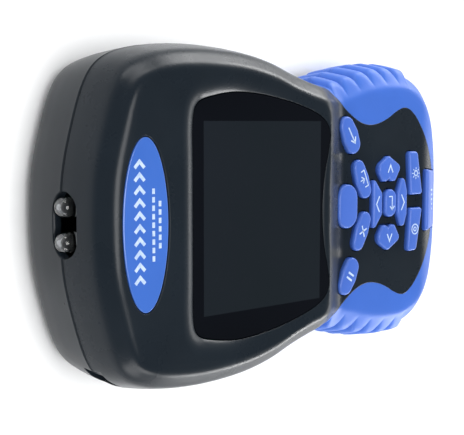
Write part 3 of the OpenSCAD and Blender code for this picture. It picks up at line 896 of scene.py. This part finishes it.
def key_marks():
    """Generic signs for the keys, as (points, width) strokes."""
    thin, w = 0.34, 0.42
    bx, by, tilt = 20.4, -20.0, 0.57    # back and pause: place and turn in radians
    sx, sy, lean = 7.6, -25.4, 0.42     # save and delete
    lx, ly = 8.6, -49.5                 # light and cash

    def turned(points, cx, cy, a, flip=1):
        c, s = math.cos(a), math.sin(a)
        return [(flip * (cx + x * c - y * s), cy + x * s + y * c) for x, y in points]

    marks = {
        "power": [],
        "back": [(turned([(-1.1, 1.1), (-2.6, 0), (-1.1, -1.1)], bx, by, tilt), w),
                 (turned([(-2.4, 0), (2.6, 0)], bx, by, tilt), w)],
        "pause": [(turned([(s, -1.25), (s, 1.25)], bx, by, tilt, -1), 0.6) for s in (-0.75, 0.75)],
        "save": [(turned([(-2.4, 0.3), (-2.4, -1.1), (2.4, -1.1), (2.4, 0.3)], sx, sy, lean), thin),
                 (turned([(-1, 0.7), (0, -0.3), (1, 0.7)], sx, sy, lean), thin),
                 (turned([(0, 1.5), (0, -0.2)], sx, sy, lean), thin)],
        "delete": [(turned([(-1.3, -1.1 * s), (1.3, 1.1 * s)], sx, sy, lean, -1), w) for s in (-1, 1)],
        "up": [([(-2.35, -32.55), (0, -31.2), (2.35, -32.55)], w)],
        "down": [([(-2.35, -42.75), (0, -44.1), (2.35, -42.75)], w)],
        "right": [([(9.2, -38.5), (11.4, -37.4), (9.2, -36.3)], w)],
        "left": [([(-9.2, -38.5), (-11.4, -37.4), (-9.2, -36.3)], w)],
        "enter": [([(2, -36.9), (2, -38.4), (-1.9, -38.4)], thin),
                  ([(-0.9, -37.4), (-2, -38.4), (-0.9, -39.4)], thin)],
        "light": [(circle(lx, ly, 0.75, 20), thin)]
                 + [([(lx + r * math.cos(a), ly + r * math.sin(a)) for r in (1.15, 1.8)], 0.28)
                    for a in np.arange(8) * math.pi / 4],
        "cash": [(circle(-lx, ly, 1.5, 28), thin), (circle(-lx, ly, 0.6, 16), 0.3)],
        "backlit": [([(x - 0.45, -60.6), (x - 0.45, -60.6 + h)], 0.55)
                    for x, h in zip(np.arange(-2, 3) * 1.5 + 0.45, (0.7, 1.1, 1.5, 1.9, 2.3))],
    }
    for name, strokes in marks.items():
        if strokes:
            print_marks(name + "_sign", strokes, lambda y: float(key_top(y)), name + "_key_body", "keys")


# ---------------------------------------------------------------- CAD nodes that stay
def repaint():
    """New materials for the CAD nodes whose shapes are right."""
    board = moulded("solder_mask", (0.012, 0.09, 0.035), 0.32, grain=0.3, grain_mm=0.9, spread=0.25)
    plans = {
        "battery_door": moulded("door_black", BLACK, 0.4),
        "usb_flap": grip_mat, "keypad_mat": key_mat,
        "window_gasket": moulded("foam", (0.02, 0.02, 0.022), 0.9, grain=0.8, grain_mm=0.5),
        "lcd_panel": moulded("display_glass", (0.012, 0.016, 0.02), 0.15, grain=0.02),
        "lcd_frame": moulded("frame_white", (0.7, 0.7, 0.66), 0.45),
        "lcd_flex": moulded("flex_amber", (0.45, 0.2, 0.04), 0.35),
        "main_board": board, "lamp_board": board, "charge_board": board,
        "gps_antenna": moulded("fired_ceramic", (0.6, 0.53, 0.36), 0.55, grain=0.5),
        "gps_shield": tin_mat, "processor_shield": tin_mat, "usb_port": tin_mat,
        "buzzer": dark_mat, "battery_cell": moulded("cell_sleeve", (0.03, 0.18, 0.42), 0.25, grain=0.05),
        "door_pin": tin_mat, "contact_spring": tin_mat, "contact_plate": brass_mat,
        "case_screws": steel_mat, "board_screws": steel_mat,
    }
    for node, material in plans.items():
        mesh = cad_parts[node].data
        mesh.materials.clear()
        mesh.materials.append(material)


# ---------------------------------------------------------------- camera, floor and light
def camera():
    data = bpy.data.cameras.new("camera")
    data.sensor_width = 36
    data.lens = 78.56
    data.clip_start = 0.01
    cam = bpy.data.objects.new("camera", data)
    bpy.context.scene.collection.objects.link(cam)
    right, up, back = (0.0009, -0.7473, 0.6644), (0.9956, -0.0618, -0.0709), (0.0941, 0.6616, 0.7440)
    turn = Matrix((right, up, back)).transposed().to_4x4()
    cam.matrix_world = Matrix.Translation((0.02422, 0.19877, 0.22429)) @ turn
    bpy.context.scene.camera = cam


def light(name, kind, at, towards, power, **settings):
    """A light at a place in metres, turned towards a point."""
    data = bpy.data.lights.new(name, kind)
    data.energy = power
    for key, value in settings.items():
        setattr(data, key, value)
    lamp = bpy.data.objects.new(name, data)
    bpy.context.scene.collection.objects.link(lamp)
    lamp.location = at
    lamp.rotation_euler = (Vector(towards) - Vector(at)).to_track_quat("-Z", "Y").to_euler()


def studio():
    """Pale floor, bright horizon and soft lights."""
    n = Nodes("studio_floor")
    n.set(Base_Color=n.ramp(n.noise(3), [(0.3, grey(0.96)), (0.7, grey(0.985))]), Roughness=0.8,
          Specular_IOR_Level=0.1)
    size = 6000
    floor = make("floor", [(-size, -size, -0.1), (size, -size, -0.1), (size, size, -0.1),
                           (-size, size, -0.1)], [(0, 1, 2, 3)], smooth=False)
    floor.data.materials.append(n.material)
    world = bpy.data.worlds.new("studio")
    bpy.context.scene.world = world
    world.use_nodes = True
    tree = world.node_tree
    place = tree.nodes.new("ShaderNodeTexCoord")
    split = tree.nodes.new("ShaderNodeSeparateXYZ")
    ramp = tree.nodes.new("ShaderNodeValToRGB")
    tree.links.new(place.outputs["Generated"], split.inputs[0])
    tree.links.new(split.outputs["Z"], ramp.inputs["Fac"])
    tree.links.new(ramp.outputs["Color"], tree.nodes["Background"].inputs["Color"])
    # Bright near the horizon and dark overhead, like a low tent of white cloth
    low, high = ramp.color_ramp.elements
    low.position, low.color = 0.1, (0.9, 0.9, 0.9, 1)
    high.position, high.color = 0.5, (0.1, 0.11, 0.12, 1)
    bpy.context.scene.view_settings.view_transform = "Standard"
    light("overhead", "SUN", (0, 0.12, 1), (0, 0, 0), 2.5, angle=math.radians(35))
    # Strips: two beside the head, and three low ones past the heel that draw the long edge lights
    for x, y, z, power in ((-0.5, 0.1, 0.2, 1.1), (0.5, 0.1, 0.2, 1.1), (-0.45, -0.42, 0.08, 2.0),
                           (0.45, -0.42, 0.08, 2.0), (0, -0.62, 0.1, 0.4)):
        light("strip", "AREA", (x, y, z), (0, 0.02, 0.02), power, shape="RECTANGLE", size=0.45,
              size_y=0.1)


camera()
studio()
front_shell()
rear_shell()
rubber("front")
rubber("rear")
window_pane()
label_plate()
label_marks()
lamps()
for key_name, key_plan in KEYS.items():
    key_cap(key_name, key_plan)
key_marks()
repaint()
